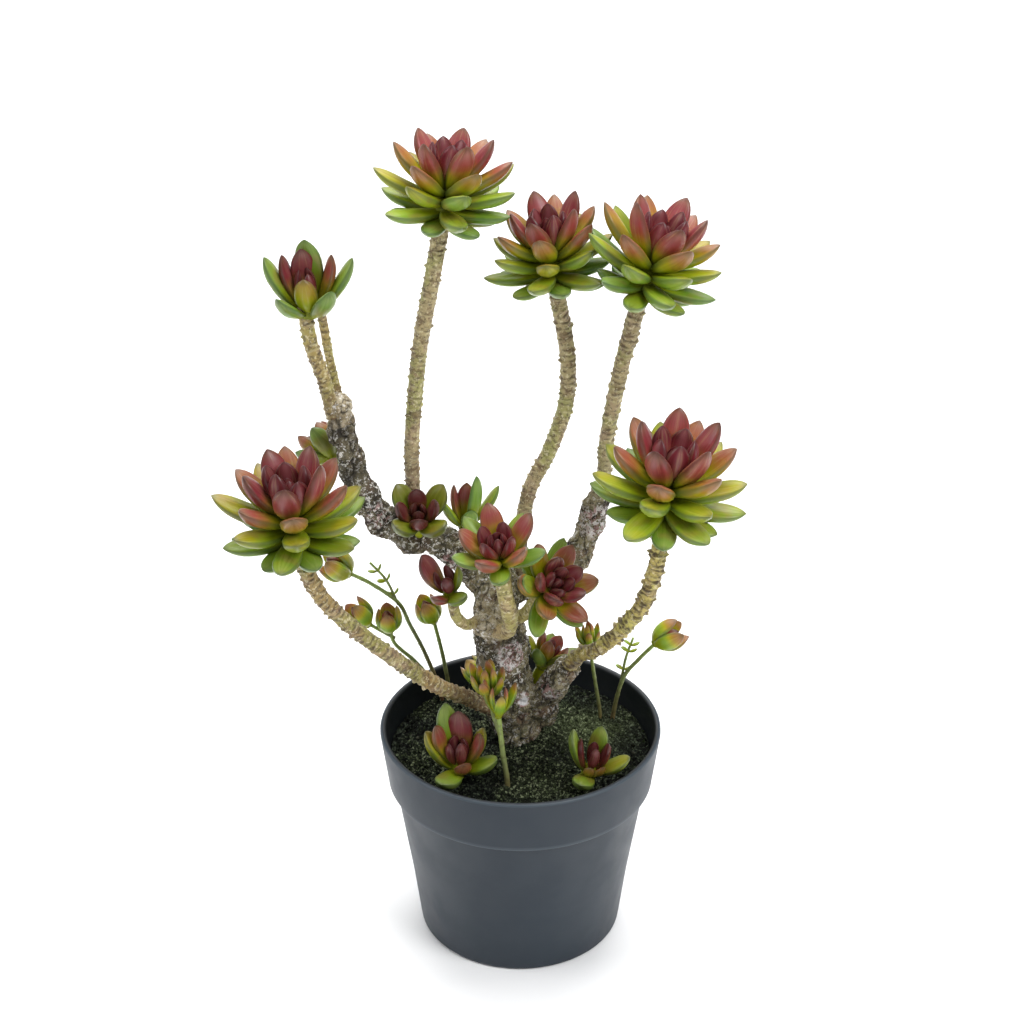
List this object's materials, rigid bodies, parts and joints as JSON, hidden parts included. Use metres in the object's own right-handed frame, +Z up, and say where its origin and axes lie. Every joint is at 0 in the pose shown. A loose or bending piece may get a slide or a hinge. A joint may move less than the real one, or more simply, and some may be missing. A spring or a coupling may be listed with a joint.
{
  "type": "potted echeveria",
  "caption": "Branching echeveria with leaf rosettes on ringed stems, a barky trunk and dark soil in a round tapered plastic pot.",
  "frame": {"origin": "on the pot's axis, on the surface that the pot stands on", "axes": "+Z up along the pot's axis; -Y towards the viewer of the picture, +X to that viewer's right"},
  "size_m": [0.2256, 0.1358, 0.3841],
  "materials": {
    "pot_plastic": "satin anthracite moulded plastic",
    "soil": "dark granular soil with moss",
    "bark": "rough grey-brown bark with pale flakes",
    "stem_skin": "tan and olive skin with ring scars",
    "leaf_skin": "waxy fleshy leaf, green to wine red",
    "sprig_skin": "yellow-green waxy skin with brown tips"
  },
  "bodies": {
    "root": {"pot": "pot_plastic", "soil": "soil", "trunk": "bark", "stem_top_left": "stem_skin", "stem_top_middle": "stem_skin", "stem_top_right": "stem_skin", "stem_right": "stem_skin", "stem_left": "stem_skin", "stem_far_left": "stem_skin", "stem_far_left_thin": "stem_skin", "stem_crown_front": "stem_skin", "stem_crown_right": "stem_skin", "stem_crown_left": "stem_skin", "rosette_top_left": "leaf_skin", "rosette_top_middle": "leaf_skin", "rosette_top_right": "leaf_skin", "rosette_right": "leaf_skin", "rosette_left": "leaf_skin", "rosette_far_left": "leaf_skin", "rosette_crown_front": "leaf_skin", "rosette_crown_right": "leaf_skin", "rosette_crown_left": "leaf_skin", "rosette_limb_red": "leaf_skin", "rosette_limb_green": "leaf_skin", "rosette_limb_back": "leaf_skin", "rosette_trunk_right": "leaf_skin", "rosette_trunk_left": "leaf_skin", "rosette_soil_left": "leaf_skin", "rosette_soil_right": "leaf_skin", "sprig_left": "sprig_skin", "sprig_left_short": "sprig_skin", "sprig_front": "sprig_skin", "sprig_right_short": "sprig_skin", "sprig_right": "sprig_skin"}
  },
  "joints": []
}
